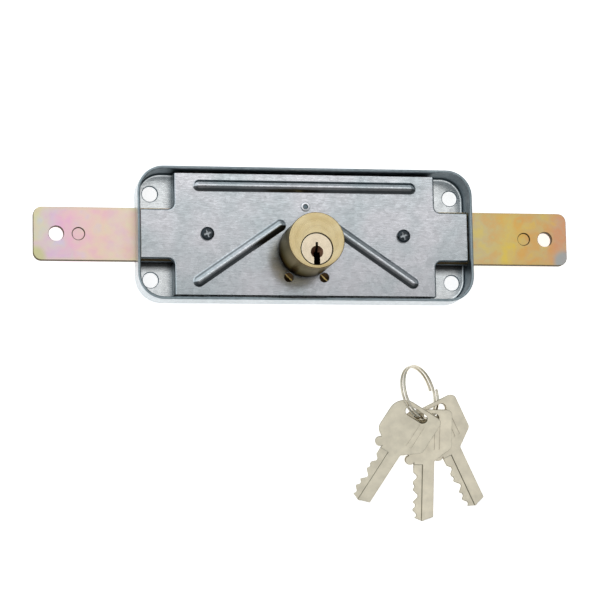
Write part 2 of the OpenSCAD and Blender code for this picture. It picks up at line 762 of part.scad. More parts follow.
// Point of the ring's surface: ring i along two turns of wire, side j round the wire
function ring_point(i, j) =
    let (turn = 360 * i / ring_rings, side = 360 * j / ring_sides,
         r = ring_d / 2 + ring_wire / 2 * cos(side))
    [r * cos(turn), r * sin(turn), ring_pitch * (i / ring_rings - 1) + ring_wire / 2 * sin(side)];

// Split ring: one wire wound twice round, leaning with its low side on the floor
module key_ring() {
    rings = 2 * ring_rings + 1;
    points = [for (i = [0 : rings - 1], j = [0 : ring_sides - 1]) ring_point(i, j)];
    echo(gap_between_turns = ring_pitch - ring_wire);
    color(nickel) translate([bunch_x, -bunch_y, ring_z]) rotate([0, ring_lean, ring_heading])
        polyhedron(points, tube_faces(rings, ring_sides));
}

// Key sizes in its own axes: the ring hole is at the origin and the blade points along -Y
bow_half = key_bow_w / 2;
bow_top_r = 7;
bow_side_r = 2.5;
bow_low_r = 4;
bow_low = -11;
neck_y = -18;
stop_r = 2;
stop_y = -17.4;
stop_foot = stop_y - stop_r;
blade_right = 3.45;
blade_left = blade_right - key_blade_h;
blade_step = blade_left + 3.7;
blade_tip = stop_foot - key_blade_l;
tip_rise = 1.6;
groove_w = 0.8;
groove_t = 0.3;
groove_x = [3, 5.2];

// Outline of the bow with its stop, a large corner on the cut side and a ring hole across its top
module key_bow() {
    difference() {
        union() {
            translate([-bow_half, bow_low]) square([key_bow_w, key_hole_inset - bow_top_r - bow_low]);
            translate([bow_top_r - bow_half, bow_low])
                square([key_bow_w - bow_top_r - bow_side_r, key_hole_inset - bow_low]);
            translate([bow_half - bow_side_r, bow_low])
                square([bow_side_r, key_hole_inset - bow_side_r - bow_low]);
            translate([bow_top_r - bow_half, key_hole_inset - bow_top_r]) circle(bow_top_r);
            translate([bow_half - bow_side_r, key_hole_inset - bow_side_r]) circle(bow_side_r);
            translate([bow_low_r - bow_half, bow_low]) circle(bow_low_r);
            translate([bow_half - bow_side_r, bow_low]) circle(bow_side_r);
            polygon([[bow_half - 1, bow_low - 2], [blade_right, neck_y], [blade_left, neck_y],
                     [-8.3, neck_y + 3.4], [-bow_half + 1, bow_low - 1.8], [0, bow_low + 1]]);
            translate([-6.9, stop_y]) circle(stop_r);
            translate([blade_left, stop_foot]) square([key_blade_h, neck_y - stop_foot + eps]);
        }
        square([key_hole_l - key_hole_w, key_hole_w], center = true);
        for (x = [-1, 1]) translate([x * (key_hole_l - key_hole_w) / 2, 0]) circle(d = key_hole_w);
    }
}

// Thick back of the blade
module key_spine() {
    polygon([[blade_step, stop_foot + eps], [blade_right, stop_foot + eps],
             [blade_right, blade_tip + tip_rise], [blade_step, blade_tip]]);
}

// Thin edge of the blade with a flat-bottomed cut under each pin
module key_edge_outline() {
    cut_flat = 0.9;
    cut_reach = 3;
    difference() {
        polygon([[blade_left, stop_foot + eps], [blade_step + eps, stop_foot + eps],
                 [blade_step + eps, blade_tip], [blade_step, blade_tip],
                 [blade_left, blade_tip + tip_rise]]);
        for (i = [0 : pin_count - 1])
            translate([blade_left + cut_step * bitting[i], stop_foot - pin_first - i * pin_pitch])
                polygon([[0, -cut_flat / 2], [0, cut_flat / 2], [-cut_reach, cut_flat / 2 + cut_reach],
                         [-cut_reach, -cut_flat / 2 - cut_reach]]);
    }
}

// One cut key, lying on Z = 0 with the middle of its ring hole at the origin
module cut_key() {
    color(nickel) difference() {
        union() {
            linear_extrude(key_t) key_bow();
            linear_extrude(key_t) key_spine();
            translate([0, 0, (key_t - key_thin) / 2]) linear_extrude(key_thin) key_edge_outline();
        }
        for (x = groove_x) {
            translate([x - groove_w / 2, neck_y + 5, key_t - groove_t])
                cube([groove_w, -neck_y - 7.5, groove_t + eps]);
        }
    }
}

// Lays a key with its hole on the ring's wire: place of the hole, slope of the key, heading of its blade
module lay_key(place, slope, heading) {
    translate([bunch_x, -bunch_y, 0] + place) rotate([slope, 0, heading]) cut_key();
}

// Places of the three ring holes, from the floor under the ring's middle
left_key_hole = [-2.27, -9.43, 13.08];
middle_key_hole = [2.9, -10.48, 8.58];
right_key_hole = [7.17, -7.37, 4.78];

// Top key of the bunch, with its blade to the left
module key_left() {
    lay_key(left_key_hole, 17.5, -32);
}

// Key in the middle of the bunch
module key_middle() {
    lay_key(middle_key_hole, 11.3, 0);
}

// Lowest key of the bunch, with its blade to the right
module key_right() {
    lay_key(right_key_hole, 6.3, 26);
}

case();
cover();
left_bolt();
right_bolt();
cylinder_housing();
cylinder_plug();
key_pins();
driver_pins();
pin_springs();
chamber_caps();
plug_circlip();
drive_pinion();
pinion_bush();
backing_plate();
backing_rivet();
guide_screws();
cover_pillars();
cover_screws();
cylinder_screws();
key_ring();
key_left();
key_middle();
key_right();
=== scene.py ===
# Looks of a rim box lock for a rolling shutter: every visible piece is drawn here in millimetres, in
# the order in which the lock goes together, and then brought to metres in the frame of the CAD model.
import math

import bpy
from mathutils import Matrix, Vector


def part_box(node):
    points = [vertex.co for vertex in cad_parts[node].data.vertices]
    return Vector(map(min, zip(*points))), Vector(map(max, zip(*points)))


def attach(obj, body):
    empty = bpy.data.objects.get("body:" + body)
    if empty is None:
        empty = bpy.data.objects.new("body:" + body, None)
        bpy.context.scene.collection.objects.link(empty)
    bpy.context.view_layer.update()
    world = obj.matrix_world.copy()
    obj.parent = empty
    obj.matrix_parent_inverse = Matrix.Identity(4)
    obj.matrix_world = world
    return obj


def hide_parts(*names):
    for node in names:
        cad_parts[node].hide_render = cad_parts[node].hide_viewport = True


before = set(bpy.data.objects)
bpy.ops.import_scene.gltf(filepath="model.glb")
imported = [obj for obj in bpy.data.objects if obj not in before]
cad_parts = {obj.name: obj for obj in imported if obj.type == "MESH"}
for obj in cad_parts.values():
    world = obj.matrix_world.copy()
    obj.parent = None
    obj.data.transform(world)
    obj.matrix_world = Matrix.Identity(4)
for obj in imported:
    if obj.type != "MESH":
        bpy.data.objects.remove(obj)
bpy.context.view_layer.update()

# Case: one pan, deep-drawn from galvanised steel sheet, with round corners and a trimmed, rounded rim.
# A slot is punched in each end wall for its bolt, and four holes in the floor take the fixing screws.
case_length, case_height, case_depth = 142, 56, 14
case_sheet = 1.2
case_corner, case_bend, rim_round = 11, 2.2, 0.57
case_edge_round = 0.1
bolt_width, bolt_thickness, bolt_level = 22.3, 3, 5.7
slot_gap = 0.25
fixing_holes = [(x, y) for x in (-64.3, 64.3) for y in (-18.2, 18.2)]
fixing_radius, fixing_step_radius, fixing_step_level = 3.2, 3.5, 0.9
plug_axis = (0, -9.8)
bush_hole_radius = 2.8
cover_screw_places = [(-41.6, 0), (41.6, 0)]
pillar_hole_radius = 2
below_floor, above_floor = -1, 3
# Edges of the shadow painted on the pan's floor below the bolts: where it starts at its foot, and where it
# fades out.
floor_shadow_foot, floor_shadow_fade = (-15.2, -12.2), (-10, 10)


def colour(code):
    """Linear colour, with alpha, of an sRGB hex value."""
    parts = [int(code[i : i + 2], 16) / 255 for i in (1, 3, 5)]
    return [c / 12.92 if c <= 0.04045 else ((c + 0.055) / 1.055) ** 2.4 for c in parts] + [1]


def add(tree, kind, inputs=None, stops=None, to=None, **settings):
    """Adds one node with its settings, its ramp's colours, the values or links of its inputs, and the
    socket that it feeds."""
    made = tree.nodes.new("ShaderNode" + kind)
    for name, value in settings.items():
        setattr(made, name, value)
    if stops:
        ramp = made.color_ramp.elements
        while len(ramp) < len(stops):
            ramp.new(0.5)
        for element, (position, code) in zip(ramp, stops):
            element.position, element.color = position, colour(code)
    for name, value in (inputs or {}).items():
        if isinstance(value, bpy.types.NodeSocket):
            tree.links.new(value, made.inputs[name])
        else:
            made.inputs[name].default_value = value
    if to is not None:
        tree.links.new(made.outputs[0], to)
    return made


def new_material(name):
    """A material with its tree, its shader and the place on the piece, in metres."""
    material = bpy.data.materials.new(name)
    material.use_nodes = True
    tree = material.node_tree
    return material, tree, tree.nodes["Principled BSDF"], add(tree, "TexCoord").outputs["Object"]


# Hot-dip galvanised sheet, rolled: a pale blue-grey zinc skin with small spangle, faint lengthwise
# rolling grain and cloudy patches a little bluer or warmer, satin rather than bright.
def galvanised_sheet(name, light, deep, roughness, ribs_from=None):
    material, tree, shader, place = new_material(name)
    grain_length, grain_width, spangle_size, cloud_size = 2.2, 0.4, 1.7, 16
    stretch = (1000 / grain_length, 1000 / grain_width, 1000 / grain_width)
    rolled = add(tree, "Mapping", {"Vector": place, "Scale": stretch}).outputs[0]
    grain = add(
        tree, "TexNoise", {"Vector": rolled, "Scale": 1, "Detail": 3, "Roughness": 0.65}
    ).outputs["Fac"]
    cloud = add(tree, "TexNoise", {"Vector": place, "Scale": 1000 / cloud_size, "Detail": 2}).outputs["Fac"]
    spangle = add(tree, "TexVoronoi", {"Vector": place, "Scale": 1000 / spangle_size}).outputs["Color"]
    spangle_grey = add(tree, "RGBToBW", {"Color": spangle}).outputs[0]
    tint = add(tree, "ValToRGB", {"Fac": cloud}, stops=[(0.35, deep), (0.65, light)]).outputs[0]
    fleck = add(
        tree,
        "MapRange",
        {"Value": spangle_grey, "From Min": 0.2, "From Max": 0.8, "To Min": 0.93, "To Max": 1.05},
    ).outputs[0]
    streak = add(
        tree,
        "MapRange",
        {"Value": grain, "From Min": 0.3, "From Max": 0.7, "To Min": 0.81, "To Max": 1.16},
    ).outputs[0]
    shade = add(tree, "Math", {0: fleck, 1: streak}, operation="MULTIPLY").outputs[0]
    if ribs_from:
        # Above this level, on the ribs, shade is painted into the colour: a little darker on the flanks that
        # face up the lock, and nearly black on those that face down it.
        level = add(tree, "SeparateXYZ", {0: place}).outputs["Z"]
        raised = add(tree, "Math", {0: level, 1: ribs_from / 1000}, operation="GREATER_THAN").outputs[0]
        facing = add(tree, "SeparateXYZ", {0: add(tree, "TexCoord").outputs["Normal"]}).outputs["Y"]
        low_flank_shade = add(
            tree,
            "MapRange",
            {"Value": facing, "From Min": -0.03, "From Max": -0.16, "To Min": 1, "To Max": 0.17},
            interpolation_type="SMOOTHSTEP",
        ).outputs[0]
        high_flank_shade = add(
            tree,
            "MapRange",
            {"Value": facing, "From Min": 0.15, "From Max": 0.5, "To Min": 1, "To Max": 0.75},
            interpolation_type="SMOOTHSTEP",
        ).outputs[0]
        flank_shade = add(tree, "Math", {0: low_flank_shade, 1: high_flank_shade}, operation="MULTIPLY").outputs[0]
        rib_shade = add(tree, "Mix", {0: raised, 2: 1.0, 3: flank_shade}, data_type="FLOAT").outputs[0]
        shade = add(tree, "Math", {0: shade, 1: rib_shade}, operation="MULTIPLY").outputs[0]
    add(tree, "VectorMath", {0: tint, "Scale": shade}, to=shader.inputs["Base Color"], operation="SCALE")
    duller, brighter = roughness + 0.07, roughness - 0.05
    add(
        tree,
        "MapRange",
        {"Value": grain, "From Min": 0.3, "From Max": 0.7, "To Min": duller, "To Max": brighter},
        to=shader.inputs["Roughness"],
    )
    relief = add(tree, "Math", {0: grain, 1: spangle_grey}, operation="ADD").outputs[0]
    add(tree, "Bump", {"Height": relief, "Strength": 0.038, "Distance": 0.0001}, to=shader.inputs["Normal"])
    shader.inputs["Metallic"].default_value = 1
    return material


case_zinc = galvanised_sheet("galvanised_case_sheet", "#CED2D5", "#C0C7CA", 0.3)
# The punch has ironed the floor of the pan brighter than the rest, and a shadow is painted on it below the
# bolts: a soft dark band under the cover's lower lips, which fades out towards the top of the pan.
floor_zinc_and_shadow = galvanised_sheet("ironed_zinc_floor_painted_shadow", "#EEF1F2", "#E3E8EA", 0.27)
tree = floor_zinc_and_shadow.node_tree
skin = tree.nodes["Principled BSDF"].inputs["Base Color"]
up_floor = add(tree, "SeparateXYZ", {0: add(tree, "TexCoord").outputs["Object"]}).outputs["Y"]
start, end = (place / 1000 for place in floor_shadow_foot)
below = add(
    tree, "MapRange", {"Value": up_floor, "From Min": start, "From Max": end, "To Min": 1, "To Max": 0.1}
).outputs[0]
start, end = (place / 1000 for place in floor_shadow_fade)
above = add(
    tree, "MapRange", {"Value": up_floor, "From Min": start, "From Max": end, "To Min": 0, "To Max": 1}
).outputs[0]
painted_shade_factor = add(tree, "Math", {0: below, 1: above}, operation="MAXIMUM").outputs[0]
add(tree, "VectorMath", {0: skin.links[0].from_socket, "Scale": painted_shade_factor}, to=skin, operation="SCALE")
# The trimmed rim is bare and greyer.
rim_zinc = galvanised_sheet("trimmed_zinc_rim", "#A2ADB2", "#8F9BA0", 0.35)
# The drawn walls inside are painted dull, dark and bluish as shade; the same painted shade goes on the cover's
# notch walls, the bolts' hidden edges and the rivet.
wall_shade_zinc = galvanised_sheet("zinc_wall_painted_shade", "#74828A", "#5E6C73", 0.42)


def begin(piece=None):
    """Leaves edit mode with every object unselected, apart from the piece that is named."""
    if bpy.context.object and bpy.context.object.mode != "OBJECT":
        bpy.ops.object.mode_set(mode="OBJECT")
    bpy.ops.object.select_all(action="DESELECT")
    if piece:
        piece.select_set(True)
        bpy.context.view_layer.objects.active = piece


def choose(kind, test):
    """Selects what passes the test, in edit mode: faces by middle and normal, edges by middle and
    direction, points by place."""
    mesh = bpy.context.object.data
    bpy.ops.object.mode_set(mode="EDIT")
    bpy.ops.mesh.select_mode(type=kind)
    bpy.ops.mesh.select_all(action="DESELECT")
    bpy.ops.object.mode_set(mode="OBJECT")
    points = mesh.vertices
    if kind == "FACE":
        for face in mesh.polygons:
            face.select = test(face.center, face.normal)
    elif kind == "EDGE":
        for edge in mesh.edges:
            start, end = (points[i].co for i in edge.vertices)
            edge.select = test((start + end) / 2, (end - start).normalized())
    else:
        for point in points:
            point.select = test(point.co)
    bpy.ops.object.mode_set(mode="EDIT")


def looks_up(middle, normal):
    """True for a level face that looks up."""
    return normal.z > 0.9


def apply_modifier(piece, kind, **settings):
    """Adds one modifier with its settings and applies it."""
    begin(piece)
    modifier = piece.modifiers.new(kind.lower(), kind)
    for name, value in settings.items():
        setattr(modifier, name, value)
    bpy.ops.object.modifier_apply(modifier=modifier.name)


def cut(piece, cutter, operation="DIFFERENCE"):
    """Cuts the cutter out of a piece, or joins it on, and clears the cutter away."""
    apply_modifier(piece, "BOOLEAN", object=cutter, operation=operation, solver="EXACT")
    bpy.data.objects.remove(cutter)


def drill(piece, place, radius, low, high):
    """Cuts an upright round hole."""
    begin()
    bpy.ops.mesh.primitive_cylinder_add(
        vertices=48, radius=radius, depth=high - low, location=(*place, (low + high) / 2)
    )
    cut(piece, bpy.context.object)


def smooth(piece, angle=38):
    """Shades the round faces smooth and keeps the flat ones flat."""
    begin(piece)
    bpy.ops.object.shade_smooth_by_angle(angle=math.radians(angle))
    apply_modifier(piece, "WEIGHTED_NORMAL", keep_sharp=True, mode="FACE_AREA")


def break_edges(piece, width, angle=35):
    """Rounds the sharp edges a little, as tumbling and handling do."""
    apply_modifier(
        piece,
        "BEVEL",
        width=width,
        segments=2,
        limit_method="ANGLE",
        angle_limit=math.radians(angle),
        loop_slide=False,
    )


def settle(piece, name, material, body, *nodes):
    """Brings a piece from millimetres to metres, with its place in its mesh, on the body it rides."""
    begin(piece)
    bpy.ops.object.transform_apply(location=True, rotation=True, scale=True)
    piece.scale = (0.001, 0.001, 0.001)
    bpy.ops.object.transform_apply(location=False, rotation=False, scale=True)
    piece.name = name
    piece.data.name = name
    piece.data.materials.clear()
    piece.data.materials.append(material)
    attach(piece, body)
    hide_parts(*nodes)


def finish_faces(piece, material, test):
    """Gives the faces that pass the test, by middle in millimetres and normal, another finish."""
    piece.data.materials.append(material)
    for face in piece.data.polygons:
        if test(face.center * 1000, face.normal):
            face.material_index = len(piece.data.materials) - 1


def from_axis(middle, axis):
    """Distance of a point from an upright axis."""
    return (middle.xy - Vector(axis)).length


def on_shaded_wall(middle, normal):
    """True for the inner side of the walls, and for the step in each fixing hole, which are painted as shade.
    """
    inner_wall = abs(normal.z) < 0.75 and normal.xy.dot(middle.xy) < 0
    in_hole = any(from_axis(middle, place) < fixing_step_radius + 0.1 for place in fixing_holes)
    return inner_wall and 1.25 < middle.z < 13.3 or in_hole and 0.3 < middle.z < 1.15


begin()
bpy.ops.mesh.primitive_plane_add(size=1)
case = bpy.context.object
bpy.ops.object.mode_set(mode="EDIT")
bpy.ops.transform.resize(value=(case_length, case_height, 1))
bpy.ops.mesh.bevel(offset=case_corner, segments=14, affect="VERTICES")
bpy.ops.mesh.extrude_region_move(TRANSFORM_OT_translate={"value": (0, 0, case_depth)})
bpy.ops.mesh.select_all(action="SELECT")
bpy.ops.mesh.normals_make_consistent(inside=False)
choose("FACE", lambda middle, normal: normal.z < -0.9)
bpy.ops.mesh.region_to_loop()
bpy.ops.mesh.bevel(offset=case_bend, segments=5, affect="EDGES")
choose("FACE", looks_up)
bpy.ops.mesh.delete(type="ONLY_FACE")
apply_modifier(case, "SOLIDIFY", thickness=case_sheet, offset=-1, use_even_offset=True)
choose("FACE", lambda middle, normal: normal.z > 0.9 and middle.z > case_depth - 0.01)
bpy.ops.mesh.region_to_loop()
bpy.ops.mesh.bevel(offset=rim_round, segments=4, affect="EDGES")
begin()
bpy.ops.mesh.primitive_cube_add(
    size=1,
    location=(0, 0, bolt_level),
    scale=(case_length + 2, bolt_width + 2 * slot_gap, bolt_thickness + 2 * slot_gap),
)
cut(case, bpy.context.object)
for place in fixing_holes:
    drill(case, place, fixing_radius, below_floor, above_floor)
    drill(case, place, fixing_step_radius, fixing_step_level, above_floor)
for place in cover_screw_places:
    drill(case, place, pillar_hole_radius, below_floor, above_floor)
drill(case, plug_axis, bush_hole_radius, below_floor, above_floor)
break_edges(case, case_edge_round)
smooth(case)
settle(case, "case_pan", case_zinc, "lock_case", "case")
finish_faces(case, floor_zinc_and_shadow, lambda middle, normal: normal.z > 0.9 and middle.z < 2)
finish_faces(case, rim_zinc, lambda middle, normal: middle.z > case_depth - 0.6 and normal.z > 0.2)
# The inner walls get painted shade.
finish_faces(case, wall_shade_zinc, on_shaded_wall)

# Pillars and bush: turned steel pillars, riveted into the floor, carry the cover and guide the bolts,
# and a turned brass bush carries the pinion. They are hidden, so the CAD solids stay as they are.


# Worked metal, from the lathe or the press: fine tool marks, duller in the furrows, and faint stains.
def turned_metal(name, code, roughness):
    material, tree, shader, place = new_material(name)
    mark_size, stain_size = 0.3, 4
    marks = add(tree, "TexNoise", {"Vector": place, "Scale": 1000 / mark_size, "Detail": 2}).outputs["Fac"]
    stain = add(tree, "TexNoise", {"Vector": place, "Scale": 1000 / stain_size, "Detail": 3}).outputs["Fac"]
    tone = add(
        tree,
        "MapRange",
        {"Value": stain, "From Min": 0.3, "From Max": 0.7, "To Min": 0.86, "To Max": 1.06},
    ).outputs[0]
    even = colour(code)[:3]
    add(tree, "VectorMath", {0: even, "Scale": tone}, to=shader.inputs["Base Color"], operation="SCALE")
    add(
        tree,
        "MapRange",
        {"Value": marks, "To Min": roughness - 0.06, "To Max": roughness + 0.08},
        to=shader.inputs["Roughness"],
    )
    shader.inputs["Metallic"].default_value = 1
    return material


def dress(node, material):
    """Gives a CAD node that stays in view its finish."""
    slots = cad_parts[node].data.materials
    slots.clear()
    slots.append(material)


# Bare mild steel, a plain mid grey, and free-cutting brass, a pale yellow, both clean from the lathe.
turned_steel = turned_metal("turned_mild_steel", "#9A9B9D", 0.34)
turned_brass = turned_metal("turned_brass", "#D9BF7C", 0.3)
dress("cover_pillars", turned_steel)
dress("pinion_bush", turned_brass)

# Bolts: flat bars of cold-rolled steel, blanked, zinc plated and yellow chromate passivated, which
# leaves a thin iridescent film. Each has a bar hole and a half-sheared button, and a rack inside.
bolt_edge_round = 0.28
bolt_flat_area = 1.6
button_place, button_reach = 94.8, 3
slot_inside = case_length / 2 - case_sheet
lip_shadow_line = -10.3


def copy_of(node, whole=True):
    """A copy of a CAD node in millimetres, its triangles joined and, if wished, its flats made whole."""
    piece = bpy.data.objects.new(node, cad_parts[node].data.copy())
    bpy.context.scene.collection.objects.link(piece)
    begin(piece)
    piece.scale = (1000, 1000, 1000)
    bpy.ops.object.transform_apply(location=False, rotation=False, scale=True)
    bpy.ops.object.mode_set(mode="EDIT")
    bpy.ops.mesh.select_all(action="SELECT")
    bpy.ops.mesh.remove_doubles(threshold=0.003)
    bpy.ops.mesh.customdata_custom_splitnormals_clear()
    if whole:
        bpy.ops.mesh.dissolve_limited(angle_limit=math.radians(1))
    begin()
    return piece


# Yellow chromate on zinc: interference tints that drift along the bar as the film thins, broken by
# soft patches, paler or greener along the long edges, and worn thin at one corner.
def passivated_zinc(name, along, edge_code, patch, start, length, drift, bare_place, bare_code):
    material, tree, shader, place = new_material(name)
    patch_size, mottle_size, grain_length, grain_width = 13, 6, 3, 0.4
    edge_from, edge_to, wear_reach, wear_core = 9.2, 11.2, 6, 3
    axes = add(tree, "SeparateXYZ", {0: place}).outputs
    patches = add(
        tree,
        "TexNoise",
        {"Vector": place, "Scale": 1000 / patch_size, "Detail": 2, "Roughness": 0.45, "Distortion": 0.6},
    ).outputs["Fac"]
    mottle = add(
        tree, "TexNoise", {"Vector": place, "Scale": 1000 / mottle_size, "Detail": 2}
    ).outputs["Fac"]
    run = add(
        tree,
        "MapRange",
        {"Value": axes["X"], "From Min": start / 1000, "From Max": (start + length) / 1000},
    ).outputs[0]
    wander = add(tree, "MapRange", {"Value": patches, "To Min": -drift, "To Max": drift}).outputs[0]
    film = add(tree, "Math", {0: run, 1: wander}, operation="ADD").outputs[0]
    tint = add(tree, "ValToRGB", {"Fac": film}, stops=along).outputs[0]
    second = add(tree, "ValToRGB", {"Fac": mottle}, stops=patch).outputs[0]
    blended = add(tree, "Mix", {0: 0.4, 6: tint, 7: second}, data_type="RGBA", blend_type="MIX").outputs[2]
    side = add(tree, "Math", {0: axes["Y"]}, operation="ABSOLUTE").outputs[0]
    rim = add(
        tree,
        "MapRange",
        {"Value": side, "From Min": edge_from / 1000, "From Max": edge_to / 1000, "To Max": 0.5},
        interpolation_type="SMOOTHSTEP",
    ).outputs[0]
    edged = add(tree, "Mix", {0: rim, 6: blended, 7: colour(edge_code)}, data_type="RGBA").outputs[2]
    corner = [c / 1000 for c in bare_place]
    reach = add(tree, "VectorMath", {0: place, 1: corner}, operation="DISTANCE").outputs["Value"]
    wear = add(
        tree,
        "MapRange",
        {"Value": reach, "From Min": wear_reach / 1000, "From Max": wear_core / 1000, "To Max": 0.85},
        interpolation_type="SMOOTHSTEP",
    ).outputs[0]
    worn = add(tree, "Mix", {0: wear, 6: edged, 7: colour(bare_code)}, data_type="RGBA").outputs[2]
    tree.links.new(worn, shader.inputs["Base Color"])
    stretch = (1000 / grain_length, 1000 / grain_width, 1000 / grain_width)
    rolled = add(tree, "Mapping", {"Vector": place, "Scale": stretch}).outputs[0]
    grain = add(tree, "TexNoise", {"Vector": rolled, "Scale": 1, "Detail": 2}).outputs["Fac"]
    add(tree, "MapRange", {"Value": grain, "To Min": 0.26, "To Max": 0.42}, to=shader.inputs["Roughness"])
    add(tree, "Bump", {"Height": grain, "Strength": 0.06, "Distance": 0.0001}, to=shader.inputs["Normal"])
    shader.inputs["Metallic"].default_value = 1
    return material


rose_zinc = passivated_zinc(
    "rose_passivated_zinc",
    along=[(0, "#DCDCA8"), (0.08, "#DDD6CE"), (0.22, "#E0CDE2"), (0.36, "#F3BADC"), (0.52, "#F8CDD3"),
           (0.68, "#F6D6C2"), (0.84, "#EEDFCB"), (1, "#EDD2B3")],
    edge_code="#E8DEB4",
    patch=[(0.3, "#F2B6DE"), (0.45, "#F5CFD0"), (0.6, "#EFE1C6"), (0.75, "#DEDDE8")],
    start=-113.5,
    length=43,
    drift=0.32,
    bare_place=(-113, -10, 7),
    bare_code="#D3D29C",
)
gold_zinc = passivated_zinc(
    "golden_passivated_zinc",
    along=[(0, "#D4C596"), (0.2, "#D8C48C"), (0.4, "#E6C768"), (0.55, "#E0B470"), (0.7, "#D8BC7E"),
           (0.85, "#DFAB78"), (1, "#DAA38C")],
    edge_code="#D4B97E",
    patch=[(0.3, "#EED252"), (0.45, "#D7C391"), (0.6, "#E9AA62"), (0.75, "#CAC892")],
    start=71,
    length=43,
    drift=0.3,
    bare_place=(112.5, -9.5, 7),
    bare_code="#A9B3B6",
)
# Sheared edge of the bar: the film lies thick and dull on the torn steel, a dark olive brown. The same brown is
# painted as shade on the bar's roundings that face away from the top of the lock, and as the shadow of the
# cover's lower lip.
sheared_edge_and_shade = turned_metal("passivated_sheared_edge_and_painted_shade", "#574A31", 0.5)


def on_sheared_or_shaded_edge(middle, normal):
    """True for the cut edges of a bar, the torn rim of its button, and the upper rounding at its ends and low
    side, which is darkened as painted shade while the rounding that faces up the lock stays light."""
    on_button = from_axis(middle, (math.copysign(button_place, middle.x), 0)) < button_reach
    return abs(normal.z) < 0.5 or 0 < normal.z < 0.985 and (on_button or normal.y < 0.3)


def on_hidden_edge(middle, normal):
    """True for an edge that stays inside the case, painted dark as shade like the walls."""
    return abs(normal.z) < 0.5 and abs(middle.x) < slot_inside


def in_lip_shadow(middle, normal):
    """True for the strip of a bolt's face below the cover's lower lip, which is painted dark as the lip's
    shadow.
    """
    return normal.z > 0.5 and middle.y < lip_shadow_line and abs(middle.x) < slot_inside


for side, film, slot in (("left", rose_zinc, -slot_inside), ("right", gold_zinc, slot_inside)):
    bolt = copy_of(f"{side}_bolt")
    break_edges(bolt, bolt_edge_round)
    bpy.ops.object.shade_smooth_by_angle(angle=math.radians(38))
    for face in bolt.data.polygons:
        face.use_smooth = face.area < bolt_flat_area
    # The faces are parted where the finish changes: at the slot in the case, and along the strip painted with
    # the lip's shadow.
    bpy.ops.object.mode_set(mode="EDIT")
    for point, way in (((slot, 0, 0), (1, 0, 0)), ((0, lip_shadow_line, 0), (0, 1, 0))):
        bpy.ops.mesh.select_all(action="SELECT")
        bpy.ops.mesh.bisect(plane_co=point, plane_no=way)
    settle(bolt, f"{side}_bolt_bar", film, f"{side}_bolt", f"{side}_bolt")
    # Cut edges, painted shade and the lip's painted shadow in dark brown, and the walls' painted shade on the
    # hidden edges.
    finish_faces(bolt, sheared_edge_and_shade, on_sheared_or_shaded_edge)
    finish_faces(bolt, wall_shade_zinc, on_hidden_edge)
    finish_faces(bolt, sheared_edge_and_shade, in_lip_shadow)

# Drive: a small steel pinion on the plug's tail moves the two racks apart. It stays the CAD solid,
# under the cover, and so do the clip that holds the plug, the plate that backs the cover and the
# screws that hold the cylinder to it.
for node in ("drive_pinion", "plug_circlip", "backing_plate", "cylinder_screws"):
    dress(node, turned_steel)

# Cover: galvanised sheet, pressed with three stiffening ribs, with a notch at each corner whose edges
# are folded down, deep beside the middle and shallow where a bolt passes below.
cover_length, cover_height, cover_face = 138.4, 51, 10.6
cover_sheet = 1.2
cover_edge_round = 0.08
notch_x, notch_y, notch_round = 55.4, 10.4, 2.6
lip, wall, fold = 2.4, 9.4, 0.9
rib_width, rib_height, rib_foot = 4.6, 1.1, 0.45
top_rib_length, top_rib_place = 94.4, (0, 20.4)
slant_rib_length, slant_rib_x, slant_rib_y = 46.55, 28.1, -7.9
slant = math.atan2(24, 34.4)
guide_screw_places = [(-7.5, -17.85), (7.5, -17.85)]
guide_hole_radius = 2.15
# Its ribs get painted shade on their flanks.
cover_zinc_and_rib_shade = galvanised_sheet("galvanised_cover_sheet_painted_rib_shade", "#D4D5DA", "#C2CACE", 0.19, ribs_from=10.62)

begin()
bpy.ops.mesh.primitive_plane_add(size=1, location=(0, 0, cover_face))
cover = bpy.context.object
bpy.ops.object.transform_apply(location=True)
bpy.ops.object.mode_set(mode="EDIT")
bpy.ops.transform.resize(value=(cover_length, cover_height, 1), center_override=(0, 0, cover_face))
for point, way in (
    ((notch_x, 0, 0), (1, 0, 0)),
    ((-notch_x, 0, 0), (1, 0, 0)),
    ((0, notch_y, 0), (0, 1, 0)),
    ((0, -notch_y, 0), (0, 1, 0)),
):
    bpy.ops.mesh.select_all(action="SELECT")
    bpy.ops.mesh.bisect(plane_co=point, plane_no=way)
choose("FACE", lambda middle, normal: abs(middle.x) > notch_x and abs(middle.y) > notch_y)
bpy.ops.mesh.delete(type="FACE")
bpy.ops.mesh.select_all(action="SELECT")
bpy.ops.mesh.dissolve_limited(angle_limit=0.01)
choose("VERT", lambda point: abs(abs(point.x) - notch_x) < 0.01 and abs(abs(point.y) - notch_y) < 0.01)
bpy.ops.mesh.bevel(offset=notch_round, segments=6, affect="VERTICES")


def on_notch(middle):
    """True for an edge of a corner notch in the cover's face."""
    beside = notch_x - 0.1 < abs(middle.x) < cover_length / 2 - 0.1
    beyond = notch_y - 0.1 < abs(middle.y) < cover_height / 2 - 0.1
    return beside and beyond and abs(middle.z - cover_face) < 0.01


choose("EDGE", lambda middle, way: on_notch(middle))
bpy.ops.mesh.extrude_edges_move(TRANSFORM_OT_translate={"value": (0, 0, -lip)})
choose("EDGE", lambda middle, way: abs(middle.z - cover_face + lip) < 0.01 and abs(way.y) > 0.99)
bpy.ops.mesh.extrude_edges_move(TRANSFORM_OT_translate={"value": (0, 0, lip - wall)})
bpy.ops.mesh.select_all(action="SELECT")
bpy.ops.mesh.normals_make_consistent(inside=False)
choose("EDGE", lambda middle, way: on_notch(middle) and abs(way.z) < 0.1)
bpy.ops.mesh.bevel(offset=fold, segments=3, affect="EDGES")
apply_modifier(cover, "SOLIDIFY", thickness=cover_sheet, offset=-1, use_even_offset=True)


